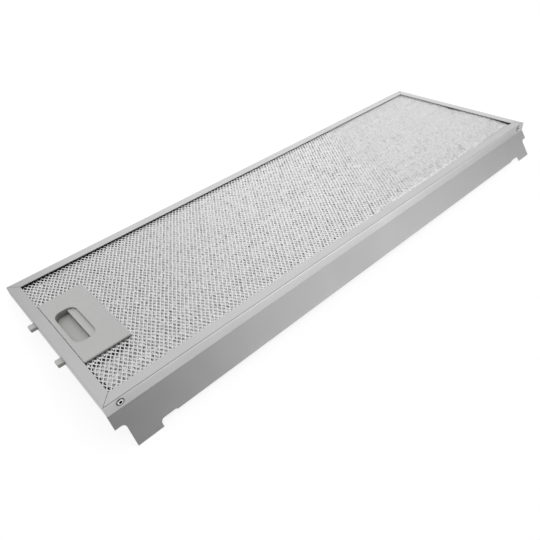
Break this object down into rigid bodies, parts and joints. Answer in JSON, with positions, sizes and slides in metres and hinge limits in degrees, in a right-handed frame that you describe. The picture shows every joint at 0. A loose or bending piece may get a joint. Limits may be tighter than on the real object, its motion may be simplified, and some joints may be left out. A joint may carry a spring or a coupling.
{
  "type": "cooker hood grease filter",
  "caption": "Flat metal mesh grease filter cassette with a folded frame, a sprung finger latch at one end and a sloped tabbed panel along one long side.",
  "frame": {"origin": "middle of the whole part's footprint, level with the feet of the panel's two tabs", "axes": "+X along the long side, away from the latch; +Y away from the sloped panel; +Z out of the face with the finger latch"},
  "size_m": [0.5746, 0.1978, 0.0339],
  "materials": {
    "frame_sheet": "satin folded sheet",
    "expanded_mesh": "bright expanded sheet",
    "crimped_foil": "bright crimped foil",
    "panel_sheet": "matt satin sheet",
    "rivet_metal": "bright rivet",
    "latch_moulding": "grey moulding",
    "spring_steel": "bright strip"
  },
  "bodies": {
    "cassette": {"frame": "frame_sheet", "front_mesh": "expanded_mesh", "front_mesh_sides": "expanded_mesh", "rear_mesh": "expanded_mesh", "deflector_panel": "panel_sheet", "panel_rivets": "rivet_metal", "handle_plate": "latch_moulding", "latch_tray": "latch_moulding", "fixed_pegs": "latch_moulding", "latch_spring": "spring_steel", "crimped_layer_1": "crimped_foil", "crimped_layer_2": "crimped_foil", "crimped_layer_3": "crimped_foil", "crimped_layer_4": "crimped_foil"},
    "latch": {"latch_slider": "latch_moulding"}
  },
  "joints": [
    {"name": "latch_slide", "type": "slide", "parent": "cassette", "child": "latch", "axis": [1, 0, 0], "range_m": [0, 0.0055], "stiffness_N_per_m": 400, "springref_m": -0.003, "deforming": ["latch_spring"]}
  ]
}
